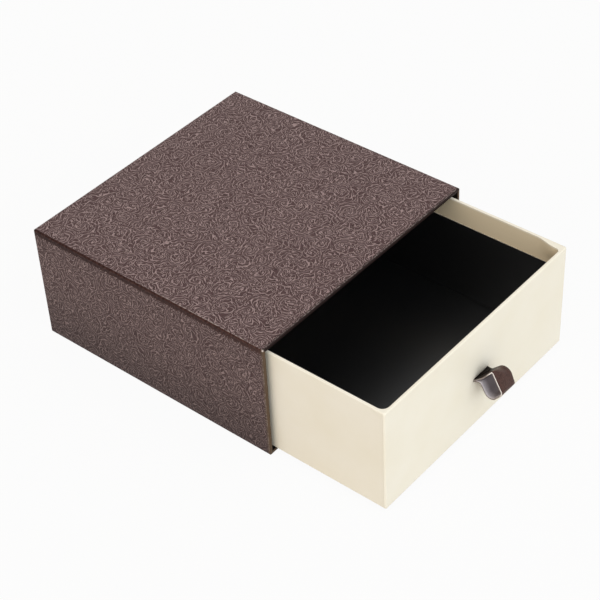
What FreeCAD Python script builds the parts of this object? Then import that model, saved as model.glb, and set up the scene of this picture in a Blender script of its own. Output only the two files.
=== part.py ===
import FreeCAD, Part
import math
import os

# A rigid gift box: a wrapped greyboard sleeve, and a drawer that slides out of it by a folded strip.
# Millimetres. X runs across the opening, the drawer pulls out towards -Y, and Z is up.
# The origin is the middle of the sleeve's underside.

# Sleeve, measured over its paper
sleeve_width = 120.0
sleeve_depth = 118.0
sleeve_height = 52.5
sleeve_board = 1.0
sleeve_paper = 0.15
sleeve_turn_in = 12.0
sleeve_lining_paper = 0.15
back_sheet_inset = 1.5

# How the drawer fits the sleeve
side_clearance = 1.7
top_clearance = 1.8
slide_clearance = 0.2
back_clearance = 1.35
drawer_out = 52.0

# Drawer
drawer_board = 0.8
drawer_paper = 0.15
drawer_turn_in = 12.0
drawer_turn_under = 12.0
base_sheet_inset = 1.5
stay_tape = 0.1
stay_leg = 10.0
lining_card = 0.4
lining_overlap = 1.9
lining_play = 0.1

# Pull: a strip folded into a loop, whose tails are glued behind the front board. Its slot is cut off centre,
# to one side and below the middle of the drawer's front.
strip_width = 9.0
strip_thickness = 0.6
strip_offset = 1.5
pull_drop = 0.65
tail_clear = 0.7
leaf_gap = 0.2
crease_inside = 0.2
slot_slack = 0.1
slot_side_gap = 0.3
patch_paper = 0.15
patch_margin = 4.0
patch_overlap = 1.2

# The loop's folds outside the slot: how far forward of the drawer's front, how far above the slot's middle,
# and the radius of the strip's middle line there
lift_forward = 1.0
lift_radius = 1.5
crest = (7.6, 7.0)
nose = (12.75, -0.8)
nose_radius = 2.2
belly = (6.9, -7.0)
belly_radius = 2.2
heel_forward = 3.0
heel_radius = 1.2

# Sleeve: the boards' outer faces
shell_x = sleeve_width / 2 - sleeve_paper
shell_front = -sleeve_depth / 2 + sleeve_paper
shell_back = sleeve_depth / 2 - 2 * sleeve_paper
shell_bottom = 2 * sleeve_paper
shell_top = sleeve_height - sleeve_paper

# Sleeve: the boards' inner faces, and the inside over its lining
core_x = shell_x - sleeve_board
core_bottom = shell_bottom + sleeve_board
core_top = shell_top - sleeve_board
core_back = shell_back - sleeve_board
inside_paper = max(sleeve_paper, sleeve_lining_paper)
inside_x = core_x - inside_paper
inside_bottom = core_bottom + inside_paper
inside_top = core_top - inside_paper
inside_back = core_back - sleeve_lining_paper
turn_in_end = -sleeve_depth / 2 + sleeve_turn_in

# Drawer: its outside when closed, then moved to where it stands
drawer_x = inside_x - side_clearance
drawer_bottom = inside_bottom + slide_clearance
drawer_top = inside_top - top_clearance
drawer_front = -sleeve_depth / 2 - drawer_out
drawer_back = inside_back - back_clearance - drawer_out

# Drawer: the boards' outer and inner faces
wall_cover = drawer_paper + stay_tape
wall_x = drawer_x - wall_cover
wall_front = drawer_front + wall_cover
wall_back = drawer_back - wall_cover
wall_bottom = drawer_bottom + 2 * drawer_paper
wall_top = drawer_top - drawer_paper
well_x = wall_x - drawer_board
well_front = wall_front + drawer_board
well_back = wall_back - drawer_board
well_bottom = wall_bottom + drawer_board

# Drawer: the linings
tail_stack = strip_thickness + patch_paper
card_x = well_x - drawer_paper
card_front = well_front + max(drawer_paper, tail_stack)
card_back = well_back - drawer_paper
card_floor = well_bottom + lining_card
turn_in_z = drawer_top - drawer_turn_in
card_top = turn_in_z + lining_overlap

# Pull: the slot in the drawer's front
slot_z = (drawer_bottom + drawer_top) / 2 - pull_drop
slot_width = strip_width + 2 * slot_side_gap
slot_height = leaf_gap + 2 * (strip_thickness + crease_inside + slot_slack)
leaf_z = (leaf_gap + strip_thickness) / 2
crease_radius = crease_inside + strip_thickness / 2
tail_reach = turn_in_z - tail_clear - slot_z


def block(x0, x1, y0, y1, z0, z1):
    corner = FreeCAD.Vector(x0, y0, z0)
    return Part.makeBox(x1 - x0, y1 - y0, z1 - z0, corner)


def save(name, shape):
    if shape.ShapeType == "Compound" and len(shape.Solids) == 1:
        shape = shape.Solids[0]
    shape.exportStep("parts/" + name + ".step")
    print(name, "solids", len(shape.Solids), "valid", shape.isValid(), "volume", round(shape.Volume, 2))


def slot_cutter():
    # passes through the front board and its paper
    half = slot_width / 2
    x0 = strip_offset - half
    x1 = strip_offset + half
    y0 = drawer_front - drawer_board
    z0 = slot_z - slot_height / 2
    return block(x0, x1, y0, well_front + lining_card, z0, z0 + slot_height)


def sleeve_boards():
    # the side boards are full height, the top and bottom fit between them, and the back fits inside all four
    save("sleeve_board_left", block(-shell_x, -core_x, shell_front, shell_back, shell_bottom, shell_top))
    save("sleeve_board_right", block(core_x, shell_x, shell_front, shell_back, shell_bottom, shell_top))
    save("sleeve_board_top", block(-core_x, core_x, shell_front, shell_back, core_top, shell_top))
    save("sleeve_board_bottom", block(-core_x, core_x, shell_front, shell_back, shell_bottom, core_bottom))
    save("sleeve_board_back", block(-core_x, core_x, core_back, shell_back, core_bottom, core_top))


def sleeve_wrap():
    # one sheet over the top and sides, with flaps under the box, onto the back and into the opening
    half = sleeve_width / 2
    front = -sleeve_depth / 2
    back = sleeve_depth / 2 - sleeve_paper
    flap_x = half - sleeve_turn_in
    paper_in_x = core_x - sleeve_paper
    paper_in_top = core_top - sleeve_paper
    paper_in_bottom = core_bottom + sleeve_paper
    outer = block(-half, half, front, back, sleeve_paper, sleeve_height)
    boards = block(-shell_x, shell_x, shell_front, shell_back, shell_bottom, shell_top)
    below = block(-flap_x, flap_x, front, back, 0, shell_bottom)
    behind = block(-flap_x, flap_x, shell_back, back, sleeve_paper, sleeve_height - sleeve_turn_in)
    opening = block(-paper_in_x, paper_in_x, front, shell_front, 0, paper_in_top)
    skin = outer.cut(boards).cut(below).cut(behind).cut(opening)
    lip = block(-core_x, core_x, shell_front, turn_in_end, paper_in_bottom, core_top)
    lip = lip.cut(block(-paper_in_x, paper_in_x, shell_front, turn_in_end, paper_in_bottom, paper_in_top))
    save("sleeve_wrap", skin.fuse(lip).removeSplitter())


def sleeve_base_sheet():
    # lies under the box, folds up over the bottom board's front edge and turns in
    half = core_x - sleeve_paper
    front = -sleeve_depth / 2
    floor_top = core_bottom + sleeve_paper
    under = block(-half, half, front, sleeve_depth / 2 - sleeve_paper, 0, sleeve_paper)
    edge = block(-half, half, front, shell_front, 0, floor_top)
    turned_in = block(-half, half, front, turn_in_end, core_bottom, floor_top)
    save("sleeve_base_sheet", under.fuse([edge, turned_in]).removeSplitter())


def sleeve_back_sheet():
    half = sleeve_width / 2 - back_sheet_inset
    back = sleeve_depth / 2
    top = sleeve_height - back_sheet_inset
    save("sleeve_back_sheet", block(-half, half, back - sleeve_paper, back, sleeve_paper, top))


def sleeve_linings():
    # starts where the wrap's turn-in ends
    tube = block(-core_x, core_x, turn_in_end, core_back, core_bottom, core_top)
    air_x = core_x - sleeve_lining_paper
    air_bottom = core_bottom + sleeve_lining_paper
    air_top = core_top - sleeve_lining_paper
    air = block(-air_x, air_x, turn_in_end, core_back, air_bottom, air_top)
    save("sleeve_lining", tube.cut(air))
    save("sleeve_lining_back", block(-air_x, air_x, inside_back, core_back, air_bottom, air_top))


def drawer_boards():
    # the front and back boards are full width, the sides fit between them, and the base fits inside all four
    front = block(-wall_x, wall_x, wall_front, well_front, wall_bottom, wall_top)
    save("drawer_board_front", front.cut(slot_cutter()))
    save("drawer_board_back", block(-wall_x, wall_x, well_back, wall_back, wall_bottom, wall_top))
    save("drawer_board_left", block(-wall_x, -well_x, well_front, well_back, wall_bottom, wall_top))
    save("drawer_board_right", block(well_x, wall_x, well_front, well_back, wall_bottom, wall_top))
    save("drawer_board_base", block(-well_x, well_x, well_front, well_back, wall_bottom, well_bottom))


def drawer_stays():
    # gummed tape folded round each upright corner, between the boards and the wrap
    tape_x = wall_x + stay_tape
    tape_front = wall_front - stay_tape
    tape_back = wall_back + stay_tape
    ring = block(-tape_x, tape_x, tape_front, tape_back, wall_bottom, wall_top)
    ring = ring.cut(block(-wall_x, wall_x, wall_front, wall_back, wall_bottom, wall_top))
    for side_name, side in (("left", -1), ("right", 1)):
        x0, x1 = sorted((side * tape_x, side * (tape_x - stay_leg)))
        for end_name, y0 in (("front", tape_front), ("back", tape_back - stay_leg)):
            corner = block(x0, x1, y0, y0 + stay_leg, wall_bottom, wall_top)
            save("drawer_stay_" + end_name + "_" + side_name, ring.common(corner))


def drawer_wrap():
    # one sheet over the walls and rim, turned in behind the linings and turned under the base
    under_top = drawer_bottom + 2 * drawer_paper
    skin_x = drawer_x - drawer_paper
    skin_front = drawer_front + drawer_paper
    skin_back = drawer_back - drawer_paper
    paper_in_x = well_x - drawer_paper
    paper_in_front = well_front + drawer_paper
    paper_in_back = well_back - drawer_paper
    outer = block(-drawer_x, drawer_x, drawer_front, drawer_back, drawer_bottom + drawer_paper, drawer_top)
    filled = block(-skin_x, skin_x, skin_front, skin_back, under_top, wall_top)
    turned_in = block(-well_x, well_x, well_front, well_back, turn_in_z, wall_top)
    mouth = block(-paper_in_x, paper_in_x, paper_in_front, paper_in_back, under_top, drawer_top)
    window_x = drawer_x - drawer_turn_under
    window_front = drawer_front + drawer_turn_under
    window_back = drawer_back - drawer_turn_under
    window = block(-window_x, window_x, window_front, window_back, drawer_bottom, under_top)
    wrap = outer.cut(filled.cut(turned_in)).cut(mouth).cut(window).cut(slot_cutter())
    save("drawer_wrap", wrap)


def drawer_base_sheet():
    half = drawer_x - base_sheet_inset
    front = drawer_front + base_sheet_inset
    back = drawer_back - base_sheet_inset
    save("drawer_base_sheet", block(-half, half, front, back, drawer_bottom, drawer_bottom + drawer_paper))


def drawer_linings():
    # the floor card goes in first, the end cards stand on it, and the side cards fit between the end cards
    inner_front = card_front + lining_card
    inner_back = card_back - lining_card
    side_front = inner_front + lining_play
    side_back = inner_back - lining_play
    inner_x = card_x - lining_card
    save("drawer_lining_floor", block(-card_x, card_x, well_front, card_back, well_bottom, card_floor))
    save("drawer_lining_front", block(-card_x, card_x, card_front, inner_front, card_floor, card_top))
    save("drawer_lining_back", block(-card_x, card_x, inner_back, card_back, card_floor, card_top))
    save("drawer_lining_left", block(-card_x, -inner_x, side_front, side_back, card_floor, card_top))
    save("drawer_lining_right", block(inner_x, card_x, side_front, side_back, card_floor, card_top))


def strip_route():
    # (forward of the drawer's front, above the slot's middle, fold radius) along the strip's middle line
    tail = drawer_front - well_front - strip_thickness / 2
    return [
        (tail, tail_reach, 0),
        (tail, leaf_z, crease_radius),
        (lift_forward, leaf_z, lift_radius),
        (crest[0], crest[1], crease_radius),
        (nose[0], nose[1], nose_radius),
        (belly[0], belly[1], belly_radius),
        (heel_forward, -leaf_z, heel_radius),
        (tail, -leaf_z, crease_radius),
        (tail, -tail_reach, 0),
    ]


def heading(a, b):
    run = math.hypot(b[0] - a[0], b[1] - a[1])
    return (b[0] - a[0]) / run, (b[1] - a[1]) / run


def strip_point(forward, up):
    return FreeCAD.Vector(strip_offset - strip_width / 2, drawer_front - forward, slot_z + up)


def strip_side(route, side):
    # the edges of one face of the strip: each fold is an arc about the same centre as the middle line's
    edges = []
    first = heading(route[0], route[1])
    at = (route[0][0] - first[1] * side, route[0][1] + first[0] * side)
    for before, fold, after in zip(route, route[1:], route[2:]):
        a = heading(before, fold)
        b = heading(fold, after)
        turn = math.atan2(a[0] * b[1] - a[1] * b[0], a[0] * b[0] + a[1] * b[1])
        way = math.copysign(1.0, turn)
        reach = fold[2] * math.tan(abs(turn) / 2)
        centre = (fold[0] - a[0] * reach - a[1] * fold[2] * way, fold[1] - a[1] * reach + a[0] * fold[2] * way)
        radius = fold[2] - side * way
        start_angle = math.atan2(-a[0] * way, a[1] * way)
        arc = []
        for share in (0, 0.5, 1):
            angle = start_angle + share * turn
            arc.append((centre[0] + radius * math.cos(angle), centre[1] + radius * math.sin(angle)))
        edges.append(Part.LineSegment(strip_point(*at), strip_point(*arc[0])).toShape())
        edges.append(Part.Arc(*[strip_point(*point) for point in arc]).toShape())
        at = arc[2]
    last = heading(route[-2], route[-1])
    end = (route[-1][0] - last[1] * side, route[-1][1] + last[0] * side)
    edges.append(Part.LineSegment(strip_point(*at), strip_point(*end)).toShape())
    return edges, edges[0].Vertexes[0].Point, strip_point(*end)


def pull_loop():
    route = strip_route()
    left, left_start, left_end = strip_side(route, strip_thickness / 2)
    right, right_start, right_end = strip_side(route, -strip_thickness / 2)
    caps = [Part.LineSegment(left_start, right_start).toShape(), Part.LineSegment(left_end, right_end).toShape()]
    outline = Part.Wire(Part.__sortEdges__(left + right + caps))
    save("pull_loop", Part.Face(outline).extrude(FreeCAD.Vector(strip_width, 0, 0)))


def pull_patch():
    # covers both tails on the back of the front board
    x0 = strip_offset - strip_width / 2 - patch_margin
    x1 = strip_offset + strip_width / 2 + patch_margin
    reach = tail_reach + patch_overlap
    y0 = well_front + strip_thickness
    save("pull_patch", block(x0, x1, y0, y0 + patch_paper, slot_z - reach, slot_z + reach))


os.makedirs("parts", exist_ok=True)
sleeve_boards()
sleeve_wrap()
sleeve_base_sheet()
sleeve_back_sheet()
sleeve_linings()
drawer_boards()
drawer_stays()
drawer_wrap()
drawer_base_sheet()
drawer_linings()
pull_loop()
pull_patch()
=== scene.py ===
import math

import bmesh
import bpy
from mathutils import Matrix, Vector


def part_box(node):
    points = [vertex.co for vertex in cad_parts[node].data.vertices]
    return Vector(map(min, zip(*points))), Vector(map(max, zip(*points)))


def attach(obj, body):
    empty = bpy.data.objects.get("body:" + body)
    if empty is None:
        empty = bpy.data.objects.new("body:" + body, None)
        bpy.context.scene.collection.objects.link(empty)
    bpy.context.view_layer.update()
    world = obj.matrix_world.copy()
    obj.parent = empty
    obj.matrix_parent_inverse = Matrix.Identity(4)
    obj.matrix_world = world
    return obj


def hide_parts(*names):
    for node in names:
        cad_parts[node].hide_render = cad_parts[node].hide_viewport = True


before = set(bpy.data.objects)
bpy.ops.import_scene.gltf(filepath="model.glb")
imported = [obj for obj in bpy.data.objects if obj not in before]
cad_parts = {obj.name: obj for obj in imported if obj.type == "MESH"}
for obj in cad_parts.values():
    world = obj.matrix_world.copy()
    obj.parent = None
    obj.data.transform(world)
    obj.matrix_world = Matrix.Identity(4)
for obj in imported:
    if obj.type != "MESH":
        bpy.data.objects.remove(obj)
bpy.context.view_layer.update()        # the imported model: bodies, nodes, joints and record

mm = 0.001
sheetUnit = 100          # mm of unrolled sheet to one unit of its UV map
scene = bpy.context.scene
print("frame loaded:", len(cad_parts), "nodes")


def linearColour(hexText):
    # "#rrggbb" as seen on screen, to the linear values that shaders take
    parts = [int(hexText[k:k + 2], 16) / 255 for k in (1, 3, 5)]
    return [p / 12.92 if p <= 0.04045 else ((p + 0.055) / 1.055) ** 2.4 for p in parts] + [1.0]


def addNode(tree, kind, settings, inputs, stops=()):
    # one node with its settings; inputs are numbers, colours, sockets, or nodes that stand for their first
    # output, and stops are the places and colours of a ramp
    made = tree.nodes.new("ShaderNode" + kind)
    for name, value in settings.items():
        setattr(made, name, value)
    for place, value in inputs.items() if isinstance(inputs, dict) else enumerate(inputs):
        if isinstance(value, bpy.types.Node):
            value = value.outputs[0]
        if isinstance(value, bpy.types.NodeSocket):
            tree.links.new(value, made.inputs[place])
        elif value is not None:
            made.inputs[place].default_value = value
    for count, (place, colour) in enumerate(stops):
        elements = made.color_ramp.elements
        stop = elements[count] if count < 2 else elements.new(place)
        stop.position = place
        stop.color = linearColour(colour)
    return made


def newMaterial(name, shaderInputs):
    material = bpy.data.materials.new(name)
    material.use_nodes = True
    tree = material.node_tree
    tree.nodes.clear()
    shader = addNode(tree, "BsdfPrincipled", {}, shaderInputs)
    addNode(tree, "OutputMaterial", {}, [shader])
    return material, tree, shader


def steps(*keys):
    # places from the first key to the last; each key is (place, size of the steps that lead to it)
    places = [keys[0][0]]
    for (start, _), (end, size) in zip(keys, keys[1:]):
        count = max(1, round((end - start) / size))
        places += [start + (end - start) * (k + 1) / count for k in range(count)]
    return places


def shares(places):
    # the places between the first and the last, as parts of the whole length
    length = places[-1] - places[0]
    return [(place - places[0]) / length for place in places[1:-1]]


def roundedPath(folds, arcSteps, runs, closed=False):
    # points of a line through the folds (x, y, radius); runs gives the places along each straight stretch
    count = len(folds)
    ends = []
    for k, (x, y, radius) in enumerate(folds):
        here = Vector((x, y))
        if radius == 0:
            ends.append((here, here))
            continue
        into = (here - Vector(folds[k - 1][:2])).normalized()
        away = (Vector(folds[(k + 1) % count][:2]) - here).normalized()
        reach = radius * abs(math.tan(into.angle_signed(away) / 2))
        ends.append((here - into * reach, here + away * reach))
    points = []
    for k, (x, y, radius) in enumerate(folds):
        start, stop = ends[k]
        if radius == 0:
            points.append(start)
        else:
            into = (Vector((x, y)) - start).normalized()
            way = math.copysign(1, into.cross(stop - start))
            centre = start + Vector((-into.y, into.x)) * radius * way
            turn = 2 * math.asin(min(1, (stop - start).length / 2 / radius)) * way
            for n in range(arcSteps + 1):
                points.append(centre + Matrix.Rotation(turn * n / arcSteps, 2) @ (start - centre))
        if closed or k + 1 < count:
            begin = points[-1]
            points += [begin.lerp(ends[(k + 1) % count][0], share) for share in runs[k]]
    return points


def lengths(points, closed=False):
    # how far along the line each point lies; a closed line ends with its whole length
    along = [0.0]
    for before, after in zip(points, points[1:] + (points[:1] if closed else [])):
        along.append(along[-1] + (after - before).length)
    return along


def quarter(radius, count=4):
    # round a quarter fold: how far each point is from the face it leads to, and from the face it comes from
    turns = [math.pi / 2 * n / count for n in range(count + 1)]
    return [(radius * (1 - math.sin(a)), radius * (1 - math.cos(a))) for a in turns]


def smooth(share):
    share = min(max(share, 0.0), 1.0)
    return share * share * (3 - 2 * share)


def edges(node):
    # a CAD node's lowest and highest corner in mm
    low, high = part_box(node)
    return low / mm, high / mm


def gridPiece(name, rows, across, along, closed=False, hole=None):
    # a sheet over rows of points in mm; across and along are its unrolled places, kept in a UV map, and hole
    # tells which faces are left out
    mesh = bpy.data.meshes.new(name)
    build = bmesh.new()
    verts = [[build.verts.new(point * mm) for point in row] for row in rows]
    sheetMap = build.loops.layers.uv.new("sheet")
    width = len(rows[0])
    for i in range(len(rows) - 1):
        for j in range(width if closed else width - 1):
            around = ((i, j), (i, j + 1), (i + 1, j + 1), (i + 1, j))
            corners = [verts[a][b % width] for a, b in around]
            if hole and hole(sum((v.co for v in corners), Vector()) / 4 / mm):
                continue
            face = build.faces.new(corners)
            face.smooth = True
            for loop, (a, b) in zip(face.loops, around):
                loop[sheetMap].uv = (across[b] / sheetUnit, along[a] / sheetUnit)
    bmesh.ops.delete(build, geom=[v for v in build.verts if not v.link_faces], context="VERTS")
    build.to_mesh(mesh)
    build.free()
    piece = bpy.data.objects.new(name, mesh)
    scene.collection.objects.link(piece)
    return piece


def finishPiece(piece, node, body, materials, thickness, offset=-1):
    # gives a sheet its thickness and materials (front, back, cut edge), in place of the frame's node
    for material in materials:
        piece.data.materials.append(material)
    solid = piece.modifiers.new("thickness", "SOLIDIFY")
    solid.thickness = thickness * mm
    solid.offset = offset
    solid.use_even_offset = True
    if len(materials) > 1:
        solid.material_offset = 1
        solid.material_offset_rim = 2
    piece.modifiers.new("flats", "WEIGHTED_NORMAL").keep_sharp = True
    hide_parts(node)
    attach(piece, body)


# Places on the sleeve that its papers share, in mm
sleeve = {
    "longFold": 0.45,        # radius of the long folds
    "frontFold": 0.3,        # radius of the folds round the boards' front edges
    "tightFold": 0.08,       # the tightest that the paper folds, inside the opening and on the back
    "paper": 0.12,
    "backTurn": 12.0,        # how far the wrap turns over on the back
    "baseShift": 300,        # the base and back sheets take their print from other parts of the roll
    "backShift": (500, 200),
}
wrapLow, wrapHigh = edges("sleeve_wrap")
baseLow, baseHigh = edges("sleeve_base_sheet")
lipEnd = edges("sleeve_lining")[0].y     # the wrap's turned-in lip ends where the lining starts,
lipInset = wrapHigh.x - baseHigh.x       # and lies this far in from the outside
sideLength = wrapHigh.z - wrapLow.z
# places on the unrolled wrap: the middle of its left long fold, of the top, and of the fold at the front
seamPlace = sideLength - sleeve["longFold"] * (1 - math.pi / 4)
roofMiddle = sideLength + wrapHigh.x - (2 - math.pi / 2) * sleeve["longFold"]
frontPlace = lipEnd - wrapLow.y + lipInset - 3 * sleeve["frontFold"] * (1 - math.pi / 4)


# Places on the drawer, in mm
skinLow, skinHigh = edges("drawer_wrap")
pullLow, pullHigh = edges("pull_loop")
drawer = {
    "paper": 0.12,
    "corner": 0.6,           # radius of the upright corners outside, and the least it shrinks to further in
    "cornerLeast": 0.3,
    "footFold": 0.35,
    "rimFold": 0.35,         # radius where the wrap turns over the rim, outside and inside
    "rimInner": 0.15,
    "rim": skinHigh.x - edges("drawer_board_right")[0].x + 0.15,     # its wall, over all its papers
    "turnUnder": 12.0,
    "turnInEnd": 37.4,       # height at which the turned-in paper ends
    # radii at which the turn-in bridges the inside corners: front left, front right, back right, back left
    "bridges": (3.0, 2.0, 1.2, 1.2),
    "bridgedOutside": 0.15,  # the share of them that shows at the rim's outer fold
    "bridgedBelow": 0.35,    # and behind the cards, where the paper is pressed home
    "bridgeRise": 3.0,       # height over which they grow to the whole
    "cardTop": edges("drawer_lining_left")[1].z + 0.1,
    "wave": 1.7,             # how far the turn-in stands off the right wall near the front corner
    "waveStart": 13.0,       # from and to this far back from the corner
    "waveEnd": 3.5,
    "waveRise": 8.0,         # height over which it grows, from the cards up
    "waveSide": (50.0, 5.8),     # it grows from this far right of the middle, over this width
    # the end walls' paper laps round onto the side walls: how far back its edge is, by depth below the rim
    "lapEdge": ((0.0, 5.6), (1.2, 4.9), (2.6, 1.9), (3.4, 1.1), (99.0, 1.1)),
    "lapRise": 0.15,         # how far it stands up there, and how wide its slope is
    "lapSlope": 0.25,
    "slotBeside": 0.3,       # how far the slot in the paper clears the strip beside, above and below
    "slotAbove": 0.65,
    "slotBelow": 1.0,
    "slotPress": 0.2,        # how far the strip has pressed in the paper round its slot
    "slotPressReach": 0.9,
}
slotMiddle = Vector((pullLow.x + pullHigh.x, pullLow.z + pullHigh.z)) / 2
slotHalf = (pullHigh.x - pullLow.x) / 2 + drawer["slotBeside"]
slotTop, slotFoot = slotMiddle.y + drawer["slotAbove"], slotMiddle.y - drawer["slotBelow"]
drawerFolds = drawer["footFold"] + drawer["rimFold"] + drawer["rimInner"]
drawerUp = drawer["turnUnder"] + skinHigh.z - skinLow.z + drawer["rim"]
gluedPlace = drawerUp - (2 - math.pi / 2) * drawerFolds      # from the wrap's lower end to its turn-in


# Art paper printed with pearl ink: a fine paler scroll on dull dark brown, one tone when seen from afar.
# Its margins are left unprinted, and rub pale where they are folded or cut; on the fold round the opening the
# pale line is partly a painted highlight. Printed lines are a little finer than these, which are as wide as
# they need to be to show.
scrollPaper = {
    "ink": "#9d8682",
    "shade": "#382725",
    "ground": "#503b3a",
    "bare": "#260e09",       # the seam's unprinted margin, paler in patches and towards the front
    "barePale": "#4e332c",
    # the fold round the opening: nearly black above and browner down the sides;
    # its inside, within the opening, is painted darkest as painted shade
    "edgeAbove": "#261a18",
    "edgeBeside": "#5a4838",
    "edgeInsideShade": "#15100e",
    "foot": "#bbb9b9",       # painted shade: multiplies the print on the sides, darker towards their feet
    "shin": "#dadada",
    "side": "#ededee",
    "wearAndHighlight": "#c4b5aa",
    "roughness": 0.5,
    "sheen": 0.1,
    "line": 0.08,            # half a printed line's width, and the range over which it varies
    "weight": 0.24,
    "shadeOut": 0.14,        # mm from a line to its darkest shade, and to plain ground
    "groundOut": 0.42,
    "scroll": 7.5,           # mm between the scrolls
    "vinePitch": 1.5,        # mm from one turn of a vine to the next
    "wanderPitch": 7.0,      # the vines wander from a true spiral: over how many mm, and how far
    "wander": 5.5,
    "waverPitch": 1.6,       # and waver as if drawn by hand
    "waver": 1.0,
    "leaves": 3.0,           # how many more leaves each turn of a vine has than the one inside it
    "leafLean": 1.3,         # by how many leaves each one leans over on its way across
    "leafFine": 5.0,         # at 2 pi the leaves are as fine as the vines, and below it wider
    "leafClear": 0.1,        # gap between a leaf and its vine
    "berry": 4.6,            # mm between the berries
    "berrySkin": 0.5,        # radius of a berry's outline, and of the gap in the vines round it
    "berryClear": 0.95,
    "seamBelow": 2.5,        # mm of bare paper below the long fold that holds the seam
    "seamFront": 0.35,       # and above it: at the front, and how much more of it at the back
    "seamMore": 0.5,
    "fade": 1.6,             # mm by which the print stops short of the front fold
    "ragged": 0.9,           # ragged edges: bumps to a mm, and how much of them each edge of the print takes
    "raggedCut": 0.4,
    "raggedFoot": 5.0,
    "raggedFront": 1.2,
    "paleLineHalf": 0.16,        # half the width of a pale line: worn, and on the front fold partly a painted highlight
    "wornCut": 0.6,          # how pale the worn cut edge and the front fold's partly painted highlight get
    "frontWearAndHighlight": 0.35,
}


def addScroll(tree, place):
    # mm from each point to the nearest printed line: vines wind out of scattered eyes, with leaves between
    p = scrollPaper
    slow = addNode(tree, "TexNoise", {}, {"Vector": place, "Scale": 1 / p["wanderPitch"], "Detail": 1.0})
    slow = addNode(tree, "VectorMath", {"operation": "SUBTRACT"}, [slow.outputs["Color"], (0.5, 0.5, 0.5)])
    slow = addNode(tree, "VectorMath", {"operation": "SCALE"}, {0: slow, "Scale": p["wander"]})
    bent = addNode(tree, "VectorMath", {"operation": "ADD"}, [place, slow])
    quick = addNode(tree, "TexNoise", {}, {"Vector": place, "Scale": 1 / p["waverPitch"], "Detail": 0.0})
    weight = addNode(tree, "Math", {"operation": "MULTIPLY_ADD"}, [quick, -p["weight"], p["weight"] / 2])
    quick = addNode(tree, "VectorMath", {"operation": "SUBTRACT"}, [quick.outputs["Color"], (0.5, 0.5, 0.5)])
    quick = addNode(tree, "VectorMath", {"operation": "SCALE"}, {0: quick, "Scale": p["waver"]})
    bent = addNode(tree, "VectorMath", {"operation": "ADD"}, [bent, quick])
    eyes = addNode(tree, "TexVoronoi", {"voronoi_dimensions": "2D"},
                   {"Vector": bent, "Scale": 1 / p["scroll"], "Randomness": 0.85})
    chance = addNode(tree, "SeparateColor", {}, [eyes.outputs["Color"]])
    local = addNode(tree, "VectorMath", {"operation": "SUBTRACT"}, [bent, eyes.outputs["Position"]])
    radius = addNode(tree, "VectorMath", {"operation": "LENGTH"}, [local]).outputs["Value"]
    axes = addNode(tree, "SeparateXYZ", {}, [local])
    angle = addNode(tree, "Math", {"operation": "ARCTAN2"}, [axes.outputs[1], axes.outputs[0]])
    hand = addNode(tree, "Math", {"operation": "GREATER_THAN"}, [chance.outputs[1], 0.5])
    hand = addNode(tree, "Math", {"operation": "MULTIPLY_ADD"}, [hand, 2.0, -1.0])
    turn = addNode(tree, "Math", {"operation": "MULTIPLY"}, [angle, hand])
    turn = addNode(tree, "Math", {"operation": "MULTIPLY_ADD"}, [turn, 0.5 / math.pi, chance.outputs[0]])
    wind = addNode(tree, "Math", {"operation": "MULTIPLY_ADD"}, [radius, 1 / p["vinePitch"], turn])
    ring = addNode(tree, "Math", {"operation": "FLOOR"}, [wind])
    across = addNode(tree, "Math", {"operation": "FRACT"}, [wind])
    vine = addNode(tree, "Math", {"operation": "SUBTRACT"}, [across, 0.5])
    vine = addNode(tree, "Math", {"operation": "ABSOLUTE"}, [vine])
    vine = addNode(tree, "Math", {"operation": "MULTIPLY_ADD"}, [vine, -p["vinePitch"], p["vinePitch"] / 2])
    # leaves lean across the gap between two turns, about as close together everywhere
    count = addNode(tree, "Math", {"operation": "MULTIPLY_ADD"}, [ring, p["leaves"], p["leaves"]])
    lean = addNode(tree, "Math", {"operation": "POWER"}, [across, 1.5])
    leaf = addNode(tree, "Math", {"operation": "MULTIPLY"}, [turn, count])
    leaf = addNode(tree, "Math", {"operation": "MULTIPLY_ADD"}, [lean, p["leafLean"], leaf])
    leaf = addNode(tree, "Math", {"operation": "FRACT"}, [leaf])
    leaf = addNode(tree, "Math", {"operation": "SUBTRACT"}, [leaf, 0.5])
    leaf = addNode(tree, "Math", {"operation": "ABSOLUTE"}, [leaf])
    leaf = addNode(tree, "Math", {"operation": "MULTIPLY"}, [leaf, radius])
    leaf = addNode(tree, "Math", {"operation": "DIVIDE"}, [leaf, count])
    leaf = addNode(tree, "Math", {"operation": "MULTIPLY"}, [leaf, p["leafFine"]])
    clear = addNode(tree, "Math", {"operation": "MULTIPLY_ADD"}, [vine, -1.0, p["leafClear"]])
    leaf = addNode(tree, "Math", {"operation": "MAXIMUM"}, [leaf, clear])
    away = addNode(tree, "Math", {"operation": "SMOOTH_MIN"}, [vine, leaf, 0.05])
    # a berry in each eye, and a few more between
    berry = addNode(tree, "TexVoronoi", {"voronoi_dimensions": "2D"},
                    {"Vector": place, "Scale": 1 / p["berry"], "Randomness": 1.0})
    berry = addNode(tree, "Math", {"operation": "MULTIPLY"}, [berry, p["berry"]])
    berry = addNode(tree, "Math", {"operation": "MINIMUM"}, [berry, radius])
    skin = addNode(tree, "Math", {"operation": "SUBTRACT"}, [berry, p["berrySkin"]])
    skin = addNode(tree, "Math", {"operation": "ABSOLUTE"}, [skin])
    inside = addNode(tree, "Math", {"operation": "LESS_THAN"}, [berry, p["berryClear"]])
    away = addNode(tree, "Mix", {"data_type": "FLOAT"}, {0: inside, 2: away, 3: skin})
    return addNode(tree, "Math", {"operation": "ADD"}, [away, weight])


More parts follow.
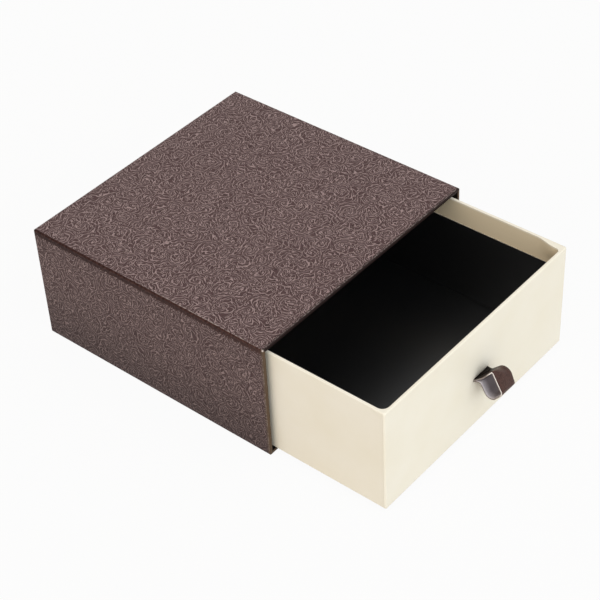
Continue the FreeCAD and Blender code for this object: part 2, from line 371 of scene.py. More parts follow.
def makeScrollPaper():
    p = scrollPaper
    material, tree, shader = newMaterial("pearlPrintedArtPaper", {
        "Roughness": p["roughness"], "Specular IOR Level": p["sheen"]})
    sheet = addNode(tree, "UVMap", {"uv_map": "sheet"}, [])
    place = addNode(tree, "VectorMath", {"operation": "SCALE"}, {0: sheet, "Scale": sheetUnit})
    axes = addNode(tree, "SeparateXYZ", {}, [place])
    across, along = axes.outputs[0], axes.outputs[1]
    line = p["line"]
    stops = ((line / 2, p["ink"]), (line + p["shadeOut"], p["shade"]), (p["groundOut"], p["ground"]))
    printed = addNode(tree, "ValToRGB", {}, [addScroll(tree, place)], stops)
    ragged = addNode(tree, "TexNoise", {}, {"Vector": place, "Scale": p["ragged"], "Detail": 3.0})
    shift = addNode(tree, "Math", {"operation": "MULTIPLY_ADD"}, [ragged, 0.8, -0.4])
    broken = addNode(tree, "TexNoise", {}, {"Vector": place, "Scale": p["ragged"], "Detail": 2.0})
    broken = addNode(tree, "MapRange", {}, {0: broken, 1: 0.45, 2: 0.62})

    # the seam: the print stops beside the left long fold, by a cut that drifts off it towards the back
    back = addNode(tree, "MapRange", {}, {0: along, 1: frontPlace, 2: frontPlace + wrapHigh.y - wrapLow.y})
    back = addNode(tree, "Math", {"operation": "SQRT"}, [back])
    cutStart = seamPlace + p["seamFront"]
    cut = addNode(tree, "Math", {"operation": "MULTIPLY_ADD"}, [back, p["seamMore"], cutStart])
    above = addNode(tree, "Math", {"operation": "SUBTRACT"}, [cut, across])
    above = addNode(tree, "Math", {"operation": "MULTIPLY_ADD"}, [shift, p["raggedCut"], above])
    below = addNode(tree, "Math", {"operation": "MULTIPLY_ADD"}, [shift, p["raggedFoot"], across])
    seam = addNode(tree, "MapRange", {}, {0: above, 1: 0.0, 2: 0.2})
    seamFoot = seamPlace - p["seamBelow"]
    foot = addNode(tree, "MapRange", {}, {0: below, 1: seamFoot, 2: seamFoot + 0.5})
    seam = addNode(tree, "Math", {"operation": "MULTIPLY"}, [seam, foot])
    bare = addNode(tree, "Math", {"operation": "MULTIPLY_ADD"}, [back, -0.2, ragged])
    bare = addNode(tree, "ValToRGB", {}, [bare], ((0.25, p["bare"]), (0.6, p["barePale"])))
    toned = addNode(tree, "Mix", {"data_type": "RGBA"}, {0: seam, 6: printed, 7: bare})

    # painted shade on the sides, darker towards their feet, by height
    spot = addNode(tree, "NewGeometry", {}, []).outputs["Position"]
    height = addNode(tree, "SeparateXYZ", {}, [spot]).outputs[2]
    height = addNode(tree, "Math", {"operation": "DIVIDE"}, [height, wrapHigh.z * mm])
    stops = ((0.0, p["foot"]), (0.3, p["shin"]), (0.6, p["side"]), (0.98, p["side"]), (0.995, "#ffffff"))
    paintedSideShade = addNode(tree, "ValToRGB", {}, [height], stops)
    toned = addNode(tree, "Mix", {"data_type": "RGBA", "blend_type": "MULTIPLY"},
                    {0: 1.0, 6: toned.outputs[2], 7: paintedSideShade})

    # the fold round the opening, where the print fades out
    roof = addNode(tree, "Math", {"operation": "SUBTRACT"}, [across, roofMiddle])
    roof = addNode(tree, "Math", {"operation": "ABSOLUTE"}, [roof])
    roof = addNode(tree, "MapRange", {}, {0: roof, 1: wrapHigh.x + 0.2, 2: wrapHigh.x - 0.6})
    front = addNode(tree, "Math", {"operation": "MULTIPLY_ADD"}, [shift, p["raggedFront"], along])
    front = addNode(tree, "MapRange", {}, {0: front, 1: frontPlace + p["fade"], 2: frontPlace + 0.2})
    edgeTone = addNode(tree, "Mix", {"data_type": "RGBA"},
                       {0: roof, 6: linearColour(p["edgeBeside"]), 7: linearColour(p["edgeAbove"])})
    # painted shade: the fold's inside, within the opening, is painted darkest
    inside = addNode(tree, "MapRange", {},
                     {0: along, 1: frontPlace - lipInset * 0.7, 2: frontPlace - lipInset})
    edgeTone = addNode(tree, "Mix", {"data_type": "RGBA"},
                       {0: inside, 6: edgeTone.outputs[2], 7: linearColour(p["edgeInsideShade"])})
    toned = addNode(tree, "Mix", {"data_type": "RGBA"},
                    {0: front, 6: toned.outputs[2], 7: edgeTone.outputs[2]})

    # worn lines: the cut edge of the print in its front half, and the fold round the opening, where the pale
    # line is partly a painted highlight
    edge = addNode(tree, "Math", {"operation": "ABSOLUTE"}, [above])
    edge = addNode(tree, "MapRange", {}, {0: edge, 1: p["paleLineHalf"] * 1.4, 2: p["paleLineHalf"] * 0.6})
    near = addNode(tree, "MapRange", {}, {0: back, 1: 0.8, 2: 0.6})
    edge = addNode(tree, "Math", {"operation": "MULTIPLY"}, [edge, near])
    edge = addNode(tree, "Math", {"operation": "MULTIPLY"}, [edge, p["wornCut"]])
    # the pale line along the front fold is partly a painted highlight
    rim = addNode(tree, "Math", {"operation": "SUBTRACT"}, [along, frontPlace + 0.5])
    rim = addNode(tree, "Math", {"operation": "ABSOLUTE"}, [rim])
    rim = addNode(tree, "MapRange", {}, {0: rim, 1: p["paleLineHalf"] * 1.4, 2: p["paleLineHalf"] * 0.6})
    rim = addNode(tree, "Math", {"operation": "MULTIPLY"}, [rim, p["frontWearAndHighlight"]])
    wearAndHighlight = addNode(tree, "Math", {"operation": "MAXIMUM"}, [edge, rim])
    wearAndHighlight = addNode(tree, "Math", {"operation": "MULTIPLY"}, [wearAndHighlight, broken])
    # and the corner where the two meet
    tip = addNode(tree, "VectorMath", {"operation": "DISTANCE"}, [place, (seamPlace, frontPlace + 0.3, 0)])
    tip = addNode(tree, "MapRange", {}, {0: tip.outputs["Value"], 1: 0.55, 2: 0.25})
    wearAndHighlight = addNode(tree, "Math", {"operation": "MAXIMUM"}, [wearAndHighlight, tip])
    toned = addNode(tree, "Mix", {"data_type": "RGBA"},
                    {0: wearAndHighlight, 6: toned.outputs[2], 7: linearColour(p["wearAndHighlight"])})
    tree.links.new(toned.outputs[2], shader.inputs["Base Color"])
    return material


# Cream paper with a pearl coating, pasted over board: warm and even, a little cloudy where its fibres gather,
# with a fine tooth that keeps the sheen broad
creamPaper = {
    "pale": "#f2e9d7",
    "deep": "#efe5d0",
    "glued": "#dccaaa",      # painted shade and warm bounce on the turned-in margin inside the drawer
    "roughness": 0.5,
    "cloud": 18.0,           # mm across the cloudy patches
    "tooth": 0.5,            # mm between the fibres; real ones are finer, and wouldn't show
}


def makeCreamPaper():
    p = creamPaper
    material, tree, shader = newMaterial("pearlCoatedCreamPaper", {
        "Roughness": p["roughness"], "Specular IOR Level": 0.5})
    spot = addNode(tree, "NewGeometry", {}, []).outputs["Position"]
    cloud = addNode(tree, "TexNoise", {}, {"Vector": spot, "Scale": 1 / mm / p["cloud"], "Detail": 4.0})
    tone = addNode(tree, "ValToRGB", {}, [cloud], ((0.3, p["deep"]), (0.7, p["pale"])))
    sheet = addNode(tree, "UVMap", {"uv_map": "sheet"}, [])
    along = addNode(tree, "SeparateXYZ", {}, [sheet]).outputs[1]
    # painted shade: the turned-in margin is painted darker and warmer
    start, end = gluedPlace / sheetUnit, (gluedPlace + 1) / sheetUnit
    inner = addNode(tree, "MapRange", {}, {0: along, 1: start, 2: end})
    tone = addNode(tree, "Mix", {"data_type": "RGBA"}, {0: inner, 6: tone, 7: linearColour(p["glued"])})
    tree.links.new(tone.outputs[2], shader.inputs["Base Color"])
    fibre = addNode(tree, "TexNoise", {}, {"Vector": spot, "Scale": 1 / mm / p["tooth"], "Detail": 2.0})
    relief = addNode(tree, "Bump", {}, {"Height": fibre, "Strength": 0.2, "Distance": 0.02 * mm})
    tree.links.new(relief.outputs[0], shader.inputs["Normal"])
    return material


# Black card with a satin coating: hardly a colour of its own, only a soft sheen where light comes in
blackCard = {
    "colour": "#030304",
    "roughness": 0.36,
    "sheen": 1.0,
    "coat": 0.8,
    "grain": 0.6,            # mm across the coating's fine unevenness, and how far it sways the roughness
    "sway": 0.04,
}


def makeBlackCard():
    p = blackCard
    material, tree, shader = newMaterial("satinCoatedBlackCard", {
        "Base Color": linearColour(p["colour"]), "Specular IOR Level": p["sheen"],
        "Coat Weight": p["coat"], "Coat Roughness": p["roughness"]})
    spot = addNode(tree, "NewGeometry", {}, []).outputs["Position"]
    grain = addNode(tree, "TexNoise", {}, {"Vector": spot, "Scale": 1 / mm / p["grain"], "Detail": 3.0})
    low, high = p["roughness"] - p["sway"], p["roughness"] + p["sway"]
    rough = addNode(tree, "MapRange", {}, {0: grain, 3: low, 4: high})
    tree.links.new(rough.outputs[0], shader.inputs["Roughness"])
    return material


# The pale core of pasteboard, bare where the black card is cut: loose fibres, so quite matt
cardCore = {
    "pale": "#efe6d6",
    "deep": "#c4b49c",
    "fibre": 0.4,            # mm between the fibres, here and in the next materials
}


def makeCardCore():
    p = cardCore
    material, tree, shader = newMaterial("cutPasteboard", {"Roughness": 0.85})
    spot = addNode(tree, "NewGeometry", {}, []).outputs["Position"]
    fibre = addNode(tree, "TexNoise", {}, {"Vector": spot, "Scale": 1 / mm / p["fibre"], "Detail": 3.0})
    tone = addNode(tree, "ValToRGB", {}, [fibre], ((0.35, p["deep"]), (0.65, p["pale"])))
    tree.links.new(tone.outputs[0], shader.inputs["Base Color"])
    return material


# Greyboard pressed from waste paper: dull, with darker and paler flecks of the old fibres
greyBoard = {
    "pale": "#9d968a",
    "deep": "#847d72",
    "fleck": "#5d574f",
    "fibre": 1.2,
    "fleckGap": 2.5,         # mm between the flecks, and their size as a share of it
    "fleckSize": (0.16, 0.1),
}


def makeGreyBoard():
    p = greyBoard
    material, tree, shader = newMaterial("pressedGreyboard", {"Roughness": 0.9, "Specular IOR Level": 0.2})
    spot = addNode(tree, "NewGeometry", {}, []).outputs["Position"]
    fibre = addNode(tree, "TexNoise", {}, {"Vector": spot, "Scale": 1 / mm / p["fibre"], "Detail": 5.0})
    tone = addNode(tree, "ValToRGB", {}, [fibre], ((0.35, p["deep"]), (0.65, p["pale"])))
    flecks = addNode(tree, "TexVoronoi", {}, {"Vector": spot, "Scale": 1 / mm / p["fleckGap"]})
    flecks = addNode(tree, "MapRange", {}, {0: flecks, 1: p["fleckSize"][0], 2: p["fleckSize"][1]})
    tone = addNode(tree, "Mix", {"data_type": "RGBA"}, {0: flecks, 6: tone, 7: linearColour(p["fleck"])})
    tree.links.new(tone.outputs[2], shader.inputs["Base Color"])
    relief = addNode(tree, "Bump", {}, {"Height": fibre, "Strength": 0.4, "Distance": 0.1 * mm})
    tree.links.new(relief.outputs[0], shader.inputs["Normal"])
    return material


# Gummed kraft paper: brown, streaked along its length by the long fibres
kraftTape = {
    "pale": "#b08a5e",
    "deep": "#906a43",
    "streak": 0.8,           # mm between the streaks, and their width as a share of their length
    "drawn": 0.12,
}


def makeKraftTape():
    p = kraftTape
    material, tree, shader = newMaterial("gummedKraftPaper", {"Roughness": 0.6, "Specular IOR Level": 0.3})
    spot = addNode(tree, "NewGeometry", {}, []).outputs["Position"]
    drawn = addNode(tree, "VectorMath", {"operation": "MULTIPLY"}, [spot, (1.0, 1.0, p["drawn"])])
    streaks = addNode(tree, "TexNoise", {}, {"Vector": drawn, "Scale": 1 / mm / p["streak"], "Detail": 3.0})
    tone = addNode(tree, "ValToRGB", {}, [streaks], ((0.35, p["deep"]), (0.65, p["pale"])))
    tree.links.new(tone.outputs[0], shader.inputs["Base Color"])
    return material


# Uncoated black lining paper: soft and matt, slightly brown in light
blackPaper = {
    "pale": "#171514",
    "deep": "#0d0c0b",
    "fibre": 1.0,
}


def makeBlackPaper():
    p = blackPaper
    material, tree, shader = newMaterial("uncoatedBlackPaper", {
        "Roughness": 0.85, "Specular IOR Level": 0.25})
    spot = addNode(tree, "NewGeometry", {}, []).outputs["Position"]
    fibre = addNode(tree, "TexNoise", {}, {"Vector": spot, "Scale": 1 / mm / p["fibre"], "Detail": 4.0})
    tone = addNode(tree, "ValToRGB", {}, [fibre], ((0.35, p["deep"]), (0.65, p["pale"])))
    tree.links.new(tone.outputs[0], shader.inputs["Base Color"])
    return material


# Leatherette: dark brown film embossed with a small pebble grain, so its sheen breaks up. Painted shade
# makes it darker where it comes out of the slot. Its woven backing is painted paler along the strip's open
# left edge, as painted light where light reaches into the loop. Its cut edge shows the pale backing threads,
# and is paler still along one stretch, partly as a painted highlight.
leatherette = {
    "pale": "#4f362f",
    "deep": "#3c2721",
    "slotShade": "#150d08",
    "slotPlace": 14.0,       # mm along the strip to where it leaves the slot, and to its crest
    "crestPlace": 23.0,
    "roughness": 0.4,
    "grain": 0.6,            # mm between the pebbles
    "backing": "#776d70",
    "backingLitEdge": "#c6bec0",
    "litEdgeWidth": 4.0,
    "weave": 0.5,            # mm between the threads
    "cut": "#f2e9e3",
    "cutDeep": "#8d8079",
    "cutStart": 21.0,        # the cut edge is paler from here to here, in mm, partly as a painted highlight
    "cutEnd": 34.0,
    "cutFade": 1.5,          # half the length over which that fades out
    "cutHighlightMost": 0.7,          # how pale it gets there
}


def makeLeatherette():
    p = leatherette
    material, tree, shader = newMaterial("embossedLeatherette", {
        "Roughness": p["roughness"], "Specular IOR Level": 0.15})
    spot = addNode(tree, "NewGeometry", {}, []).outputs["Position"]
    pebbles = addNode(tree, "TexVoronoi", {"feature": "SMOOTH_F1"},
                      {"Vector": spot, "Scale": 1 / mm / p["grain"]})
    tone = addNode(tree, "ValToRGB", {}, [pebbles], ((0.2, p["pale"]), (0.7, p["deep"])))
    sheet = addNode(tree, "UVMap", {"uv_map": "sheet"}, [])
    place = addNode(tree, "SeparateXYZ", {}, [sheet]).outputs[0]
    # painted shade: darker where the strip comes out of the slot, fading out by its crest
    slotShadeFade = addNode(tree, "MapRange", {},
                      {0: place, 1: p["slotPlace"] / sheetUnit, 2: p["crestPlace"] / sheetUnit})
    tone = addNode(tree, "Mix", {"data_type": "RGBA"}, {0: slotShadeFade, 6: linearColour(p["slotShade"]), 7: tone})
    tree.links.new(tone.outputs[2], shader.inputs["Base Color"])
    relief = addNode(tree, "Bump", {"invert": True},
                     {"Height": pebbles, "Strength": 0.3, "Distance": 0.1 * mm})
    tree.links.new(relief.outputs[0], shader.inputs["Normal"])
    return material


def makeBacking():
    p = leatherette
    material, tree, shader = newMaterial("wovenBacking", {"Roughness": 0.5, "Specular IOR Level": 0.5})
    spot = addNode(tree, "NewGeometry", {}, []).outputs["Position"]
    weave = addNode(tree, "TexNoise", {}, {"Vector": spot, "Scale": 1 / mm / p["weave"], "Detail": 2.0})
    sheet = addNode(tree, "UVMap", {"uv_map": "sheet"}, [])
    place = addNode(tree, "SeparateXYZ", {}, [sheet]).outputs[1]
    # painted light: the backing is paler along the strip's open left edge, where light reaches into the loop
    edge = pullLow.x / sheetUnit
    place = addNode(tree, "MapRange", {}, {0: place, 1: edge, 2: edge + p["litEdgeWidth"] / sheetUnit})
    place = addNode(tree, "Math", {"operation": "MULTIPLY_ADD"}, [weave, 0.3, place])
    tone = addNode(tree, "ValToRGB", {}, [place], ((0.15, p["backingLitEdge"]), (1.0, p["backing"])))
    tree.links.new(tone.outputs[0], shader.inputs["Base Color"])
    return material


def makeCutEdge():
    p = leatherette
    material, tree, shader = newMaterial("cutLeatherette", {"Roughness": 0.7})
    spot = addNode(tree, "NewGeometry", {}, []).outputs["Position"]
    fluff = addNode(tree, "TexNoise", {}, {"Vector": spot, "Scale": 1 / mm / p["weave"], "Detail": 2.0})
    sheet = addNode(tree, "UVMap", {"uv_map": "sheet"}, [])
    place = addNode(tree, "SeparateXYZ", {}, [sheet]).outputs[0]
    # partly painted highlight: the cut edge is paler along one stretch of the strip, duller elsewhere
    middle = (p["cutStart"] + p["cutEnd"]) / 2 / sheetUnit
    place = addNode(tree, "Math", {"operation": "SUBTRACT"}, [place, middle])
    place = addNode(tree, "Math", {"operation": "ABSOLUTE"}, [place])
    half, fade = (p["cutEnd"] - p["cutStart"]) / 2 / sheetUnit, p["cutFade"] / sheetUnit
    cutHighlight = addNode(tree, "MapRange", {}, {0: place, 1: half + fade, 2: half - fade, 4: p["cutHighlightMost"]})
    cutHighlight = addNode(tree, "Math", {"operation": "MULTIPLY_ADD"}, [fluff, 0.3, cutHighlight])
    tone = addNode(tree, "ValToRGB", {}, [cutHighlight], ((0.15, p["cutDeep"]), (0.8, p["cut"])))
    tree.links.new(tone.outputs[0], shader.inputs["Base Color"])
    return material


scrollMaterial = makeScrollPaper()
creamMaterial = makeCreamPaper()
cardMaterial = makeBlackCard()
coreMaterial = makeCardCore()
boardMaterial = makeGreyBoard()
tapeMaterial = makeKraftTape()
blackPaperMaterial = makeBlackPaper()
leatheretteMaterial = makeLeatherette()
backingMaterial = makeBacking()
cutMaterial = makeCutEdge()
print("materials made")


def sleeveRing(inset, radius, foot):
    # the wrap's section, from the foot of the left side over the top to the foot of the right; its points,
    # like those of every sheet here, stand closer together near a fold
    x = wrapHigh.x - inset
    top = wrapHigh.z - inset
    side = shares(steps((0, 0), (sideLength - 4, 4), (sideLength, 0.5)))
    roof = shares(steps((0, 0), (4, 0.5), (2 * wrapHigh.x - 4, 6), (2 * wrapHigh.x, 0.5)))
    down = [1 - share for share in reversed(side)]
    folds = [(-x, foot, 0), (-x, top, radius), (x, top, radius), (x, foot, 0)]
    return roundedPath(folds, 6, [side, roof, down])


def makeSleeveWrap():
    front, back, foot = wrapLow.y, wrapHigh.y, wrapLow.z
    turn = sleeve["frontFold"]
    # stations from the lip inside the opening, round its edge, along the outside and over the back:
    # how far in from the outside, how far back, and where the ring's feet stand
    lip = steps((front + turn, 0), (lipEnd, 3))
    stations = [(lipInset, y, baseHigh.z) for y in reversed(lip[1:])]
    stations += [(lipInset - q, front + p, foot) for p, q in quarter(turn)]
    stations += [(p, front + q, foot) for p, q in quarter(turn)]
    middle = steps((front + turn, 0), (front + 6, 1), (back - 6, 6), (back - turn, 1))
    stations += [(0, y, foot) for y in middle[1:-1]]
    stations += [(q, back - p, foot) for p, q in quarter(turn)]
    stations += [(inset, back, foot) for inset in steps((turn, 0), (sleeve["backTurn"], 3))[1:]]
    rows = []
    for inset, y, low in stations:
        ring = sleeveRing(inset, max(sleeve["longFold"] - inset, sleeve["tightFold"]), low)
        rows.append([Vector((p.x, y, p.y)) for p in ring])
    across = lengths(sleeveRing(0, sleeve["longFold"], foot))
    along = lengths([Vector(station[:2]) for station in stations])
    piece = gridPiece("sleeveWrap", rows, across, along)
    finishPiece(piece, "sleeve_wrap", "sleeve", [scrollMaterial], sleeve["paper"])


def makeBaseSheet():
    # lies under the box, turns up over the front edge of the bottom board and into the opening
    turn = sleeve["frontFold"]
    folds = [(baseHigh.y, baseLow.z, 0), (baseLow.y, baseLow.z, turn), (baseLow.y, baseHigh.z, turn),
             (lipEnd, baseHigh.z, 0)]
    under = shares(steps((0, 0), (baseHigh.y - baseLow.y, 4)))
    lip = shares(steps((0, 0), (lipEnd - baseLow.y, 3)))
    line = roundedPath(folds, 4, [under, [0.5], lip])
    places = steps((baseLow.x, 0), (baseHigh.x, 5))
    rows = [[Vector((x, p.x, p.y)) for x in places] for p in line]
    fromLip = [lengths(line)[-1] - place for place in lengths(line)]
    piece = gridPiece("sleeveBaseSheet", rows, [x + sleeve["baseShift"] for x in places], fromLip)
    finishPiece(piece, "sleeve_base_sheet", "sleeve", [scrollMaterial], sleeve["paper"])


def makeBackSheet():
    low, high = edges("sleeve_back_sheet")
    places = steps((low.x, 0), (high.x, 6))
    heights = steps((low.z, 0), (high.z, 6))[::-1]
    rows = [[Vector((x, high.y, z)) for x in places] for z in heights]
    across, along = sleeve["backShift"]
    piece = gridPiece("sleeveBackSheet", rows, [x + across for x in places], [z + along for z in heights])
    finishPiece(piece, "sleeve_back_sheet", "sleeve", [scrollMaterial], sleeve["paper"])


makeSleeveWrap()
makeBaseSheet()
makeBackSheet()
print("sleeve made")


def drawerStations():
    # the cream wrap's rings, from under the base up the outside and over the rim, down to the turn-in's end:
    # inset from the outside, height, and share of the way to the bridged inside corners
    d = drawer
    top, foot = skinHigh.z, skinLow.z
    stations = [(inset, foot, 0) for inset in reversed(steps((d["footFold"], 0), (d["turnUnder"], 3))[1:])]
    stations += [(p, foot + q, 0) for p, q in quarter(d["footFold"])]
    low, high = foot + d["footFold"], top - d["rimFold"]
    heights = steps((low, 0), (low + 2, 0.6), (slotFoot - 5, 5), (slotFoot, 0.6), (slotTop, 0.5),
                    (slotTop + 5, 0.6), (high - 4.5, 5), (high, 0.2))
    stations += [(0, z, 0) for z in heights[1:-1]]
    outside = d["bridgedOutside"]
    stations += [(q, top - p, outside) for p, q in quarter(d["rimFold"])]
    flatEnd = d["rim"] - d["rimInner"]
    for inset in steps((d["rimFold"], 0), (flatEnd, 0.3))[1:-1]:
        inward = (inset - d["rimFold"]) / (flatEnd - d["rimFold"])
        stations.append((inset, top, outside + (1 - outside) * inward))
    stations += [(d["rim"] - p, top - q, 1) for p, q in quarter(d["rimInner"])]
    for z in reversed(steps((d["turnInEnd"], 0), (top - d["rimInner"], 1))[:-1]):
        bridged = smooth((z - d["cardTop"]) / d["bridgeRise"])
        stations.append((d["rim"], z, bridged + (1 - bridged) * d["bridgedBelow"]))
    return stations


def drawerRing(inset, share):
    d = drawer
    wide, deep = skinHigh.x - skinLow.x, skinHigh.y - skinLow.y
    left, right = slotMiddle.x - slotHalf - skinLow.x, slotMiddle.x + slotHalf - skinLow.x
    frontRun = steps((0, 0), (6, 0.6), (left - 5, 6), (left, 0.6), (right, 0.8), (right + 5, 0.6),
                     (wide - 6, 6), (wide, 0.6))
    rightRun = steps((0, 0), (6, 0.2), (14, 0.6), (deep - 6, 6), (deep, 0.3))
    backRun = steps((0, 0), (5, 0.8), (wide - 5, 6), (wide, 0.8))
    leftRun = steps((0, 0), (6, 0.3), (deep - 6, 6), (deep, 0.2))
    corners = ((skinLow.x + inset, skinLow.y + inset), (skinHigh.x - inset, skinLow.y + inset),
               (skinHigh.x - inset, skinHigh.y - inset), (skinLow.x + inset, skinHigh.y - inset))
    folds = []
    for (x, y), bridge in zip(corners, d["bridges"]):
        outer = max(d["corner"] - inset * 0.5, d["cornerLeast"])
        folds.append((x, y, outer + (bridge - outer) * share))
    runs = [shares(run) for run in (frontRun, rightRun, backRun, leftRun)]
    return roundedPath(folds, 6, runs, closed=True)


def pressedPoint(x, y, z, inset, share):
    # a point of the wrap, moved by the small faults of a box made by hand
    d = drawer
    if inset == 0 and y < skinLow.y + 0.01:
        sideways = max(abs(x - slotMiddle.x) - slotHalf, 0)
        upward = max(z - slotTop, slotFoot - z, 0)
        y += d["slotPress"] * math.exp(-(math.hypot(sideways, upward) / d["slotPressReach"]) ** 2)
    sideStart, sideWidth = d["waveSide"]
    if share > 0.5 and x > sideStart:
        back = y - skinLow.y
        lift = smooth((d["waveStart"] - back) / (d["waveStart"] - d["waveEnd"]))
        lift *= smooth((x - sideStart) / sideWidth) * smooth((z - d["cardTop"]) / d["waveRise"])
        x -= d["wave"] * lift * (2 * share - 1)
    if inset == 0 and (x < skinLow.x + 0.01 or x > skinHigh.x - 0.01):
        depth, back = skinHigh.z - z, min(y - skinLow.y, skinHigh.y - y)
        for (upper, start), (lower, end) in zip(d["lapEdge"], d["lapEdge"][1:]):
            if upper <= depth < lower:
                edge = start + (end - start) * (depth - upper) / (lower - upper)
        x += math.copysign(d["lapRise"] * smooth((edge - back) / d["lapSlope"]), x)
    return Vector((x, y, z))


def inSlot(middle):
    beside = abs(middle.x - slotMiddle.x) < slotHalf
    return middle.y < skinLow.y + 1 and beside and slotFoot < middle.z < slotTop


def makeDrawerWrap():
    stations = drawerStations()
    rows = []
    for inset, z, share in stations:
        rows.append([pressedPoint(p.x, p.y, z, inset, share) for p in drawerRing(inset, share)])
    across = lengths(drawerRing(0, 0), closed=True)
    along = lengths([Vector(station[:2]) for station in stations])
    piece = gridPiece("drawerWrap", rows, across, along, closed=True, hole=inSlot)
    finishPiece(piece, "drawer_wrap", "drawer", [creamMaterial], drawer["paper"])


# Gummed tape folded round each upright corner of the boards, in mm
stay = {
    "fold": 0.95,
    "paper": 0.09,
}


def makeStays():
    for side in ("front", "back"):
        for hand in ("left", "right"):
            node = "drawer_stay_" + side + "_" + hand
            low, high = edges(node)
            x, farX = (low.x, high.x) if hand == "left" else (high.x, low.x)
            y, farY = (low.y, high.y) if side == "front" else (high.y, low.y)
            line = roundedPath([(x, farY, 0), (x, y, stay["fold"]), (farX, y, 0)], 5, [[0.5], [0.5]])
            if (side == "front") == (hand == "right"):
                line.reverse()       # so that every tape's face is outside
            heights = steps((low.z, 0), (high.z, 6))
            rows = [[Vector((p.x, p.y, z)) for p in line] for z in heights]
            piece = gridPiece("stay_" + side + "_" + hand, rows, lengths(line), heights)
            finishPiece(piece, node, "drawer", [tapeMaterial], stay["paper"])


def makeCards():
    # black card panels: each is a sheet facing into the drawer, with pale cut edges
    facing = {"floor": (0, 0, 1), "front": (0, 1, 0), "back": (0, -1, 0),
              "left": (1, 0, 0), "right": (-1, 0, 0)}
    for name, normal in facing.items():
        node = "drawer_lining_" + name
        low, high = edges(node)
        normal = Vector(normal)
        upward = Vector((0, 1, 0)) if name == "floor" else Vector((0, 0, 1))
        sideways = upward.cross(normal)
        half = (high - low) / 2
        thick = abs(half.dot(normal)) * 2
        face = (low + high) / 2 + normal * thick / 2
        wide = steps((-abs(half.dot(sideways)), 0), (abs(half.dot(sideways)), 4))
        tall = steps((-abs(half.dot(upward)), 0), (abs(half.dot(upward)), 4))
        rows = [[face + sideways * s + upward * t for s in wide] for t in tall]
        piece = gridPiece("card_" + name, rows, wide, tall)
        finishPiece(piece, node, "drawer", [cardMaterial, cardMaterial, coreMaterial], thick)


makeDrawerWrap()
makeStays()
makeCards()
print("drawer made")


# The pull strip, folded by hand and a little twisted. Its folds are given along its left and its right edge:
# mm forward of the drawer, mm above the slot's middle, radius
pull = {
    "left": [(0.3, 0.3, 1.0), (3.7, 3.2, 3.0), (7.7, 8.4, 0.4),
             (12.5, -0.2, 1.8), (7.0, -7.0, 2.6), (2.7, 0.3, 1.0)],
    "right": [(1.8, 0.1, 1.6), (4.6, 2.9, 3.0), (8.6, 6.8, 3.0),
              (11.9, -1.5, 1.4), (6.9, -6.9, 2.2), (2.9, -0.5, 1.0)],
    # the same for the upper and the lower leaf in the slot, and where each turns up or down behind the board
    "upperLeaf": (-0.6, 0.3, 1.0),
    "lowerLeaf": (-0.3, -0.35, 1.0),
    "tailHeight": 0.4,
    "tailFold": 0.5,
    "thickness": 0.5,
    "columns": 9,            # faces across the strip
}


def makePull():
    p = pull
    tail = edges("drawer_board_front")[1].y + p["thickness"] / 2 - skinLow.y
    reach = (pullHigh.z - pullLow.z) / 2
    height, fold = p["tailHeight"], p["tailFold"]
    rows = []
    for n in range(p["columns"] + 1):
        share = n / p["columns"]
        folds = [(-tail, reach, 0), (-tail, height, fold), p["upperLeaf"]]
        for a, b in zip(p["left"], p["right"]):
            folds.append(tuple(one + (two - one) * smooth(share) for one, two in zip(a, b)))
        folds += [p["lowerLeaf"], (-tail, -height, fold), (-tail, -reach, 0)]
        line = roundedPath(folds, 6, [[0.25, 0.5, 0.75]] * (len(folds) - 1))
        x = pullLow.x + (pullHigh.x - pullLow.x) * share
        rows.append([Vector((x, skinLow.y - q.x, slotMiddle.y + q.y)) for q in line])
    along = [row[0].x for row in rows]
    piece = gridPiece("pullLoop", rows, lengths(rows[0]), along)
    materials = [leatheretteMaterial, backingMaterial, cutMaterial]
    finishPiece(piece, "pull_loop", "drawer", materials, p["thickness"], 0)


makePull()
print("pull made")


# Pieces of the frame that keep their shape, by the start of their names
kept = {
    "sleeve_board": boardMaterial,
    "drawer_board": boardMaterial,
    "sleeve_lining": blackPaperMaterial,
    "drawer_base_sheet": creamMaterial,
    "pull_patch": tapeMaterial,
}
rubbedEdge = 0.3         # how round the boards' edges are, in mm


def dressFrame():
    for name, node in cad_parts.items():
        for start, material in kept.items():
            if name.startswith(start):
                node.data.materials.clear()
                node.data.materials.append(material)
        if "_board_" in name:
            node.modifiers.new("joined faces", "WELD").merge_threshold = 0.001 * mm
            flat = node.modifiers.new("whole faces", "DECIMATE")
            flat.decimate_type = "DISSOLVE"
            bevel = node.modifiers.new("rubbed edges", "BEVEL")
            bevel.width = rubbedEdge * mm
            bevel.segments = 3
            bevel.limit_method = "ANGLE"
            bevel.harden_normals = True


dressFrame()
print("frame pieces dressed")


# Where the camera stands: degrees round the object and above it, metres, and mm of lens
view = {
    "azimuth": -48.416,
    "elevation": 40.361,
    "roll": -3.193,
    "aim": (-0.00708, -0.03096, 0.026),
    "distance": 0.66647,
    "lens": 102.23,
}


def makeCamera():
    camera = bpy.data.cameras.new("camera")
    camera.lens = view["lens"]
    camera.sensor_width = 36
    camera.clip_start = 0.01
    camera.clip_end = 20
    holder = bpy.data.objects.new("camera", camera)
    scene.collection.objects.link(holder)
    turn = math.radians(view["azimuth"])
    rise = math.radians(view["elevation"])
    back = Vector((math.sin(turn) * math.cos(rise), -math.cos(turn) * math.cos(rise), math.sin(rise)))
    level = Vector((math.cos(turn), math.sin(turn), 0))
    right = Matrix.Rotation(math.radians(view["roll"]), 3, back) @ level
    facing = Matrix((right, back.cross(right), back)).transposed().to_4x4()
    holder.matrix_world = Matrix.Translation(Vector(view["aim"]) + back * view["distance"]) @ facing
    scene.camera = holder


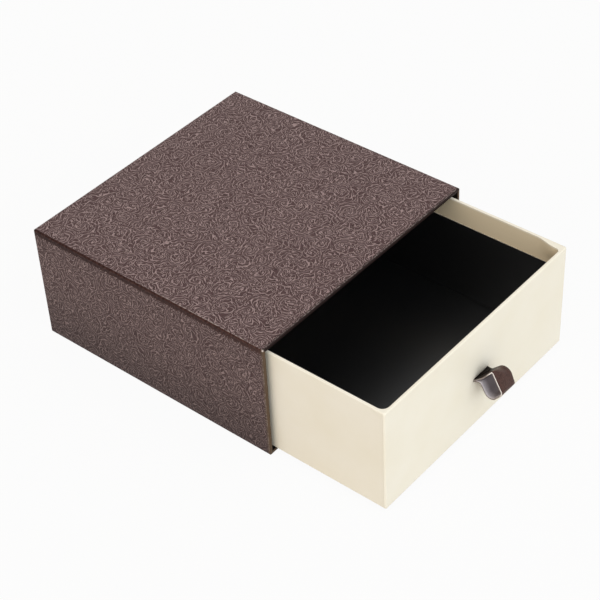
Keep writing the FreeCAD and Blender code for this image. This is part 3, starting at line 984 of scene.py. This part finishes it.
# A white table under a large pale tent, with a softbox in front and another at the left
studio = {
    "tent": 0.65,            # how strongly the tent lights the object
    "table": 2,              # half the table's width in metres, and how far it lies under the box
    "tableGap": 0.00005,
    "tableTone": (0.6, 0.58, 0.55, 1),
    "tableGlow": 0.94,       # how white it looks; the rest shows the soft shadows
    # place, size in metres, watts, colour
    "lamps": {
        "front": ((-0.3, -1.6, 1.1), 2.0, 24.2, "#e9f5ff"),
        "left": ((-1.6, 0.0, 0.9), 2.0, 10.3, "#fff4e8"),
    },
}


def makeStudio():
    white = (1, 1, 1, 1)
    world = bpy.data.worlds.new("studio")
    scene.world = world
    world.use_nodes = True
    mesh = bpy.data.meshes.new("table")
    build = bmesh.new()
    bmesh.ops.create_grid(build, x_segments=1, y_segments=1, size=studio["table"])
    build.to_mesh(mesh)
    build.free()
    table = bpy.data.objects.new("table", mesh)
    table.location.z = -studio["tableGap"]
    scene.collection.objects.link(table)
    material = bpy.data.materials.new("whiteTable")
    material.use_nodes = True
    mesh.materials.append(material)
    # the tent and the table look white to the camera and in reflections, and light the object more softly
    for tree, output in ((world.node_tree, "OutputWorld"), (material.node_tree, "OutputMaterial")):
        tree.nodes.clear()
        rays = addNode(tree, "LightPath", {}, [])
        seen = [rays.outputs["Is Camera Ray"], rays.outputs["Is Glossy Ray"]]
        seen = addNode(tree, "Math", {"operation": "MAXIMUM"}, seen)
        seen = addNode(tree, "Math", {"operation": "MAXIMUM"}, [seen, rays.outputs["Is Transmission Ray"]])
        if output == "OutputWorld":
            lit = addNode(tree, "Background", {}, {"Color": white, "Strength": studio["tent"]})
            shown = addNode(tree, "Background", {}, {"Color": white, "Strength": 1.0})
        else:
            seen = addNode(tree, "Math", {"operation": "MULTIPLY"}, [seen, studio["tableGlow"]])
            lit = addNode(tree, "BsdfDiffuse", {}, {"Color": studio["tableTone"]})
            shown = addNode(tree, "Emission", {}, {"Color": white, "Strength": 1.0})
        both = addNode(tree, "MixShader", {}, [seen, lit, shown])
        addNode(tree, output, {}, [both])
    for name, (place, size, power, colour) in studio["lamps"].items():
        lamp = bpy.data.lights.new(name, "AREA")
        lamp.shape = "SQUARE"
        lamp.size = size
        lamp.energy = power
        lamp.color = linearColour(colour)[:3]
        holder = bpy.data.objects.new(name, lamp)
        holder.location = place
        holder.rotation_euler = (-holder.location).to_track_quat("-Z", "Y").to_euler()
        scene.collection.objects.link(holder)
    scene.view_settings.view_transform = "Standard"


makeCamera()
makeStudio()
print("studio made")
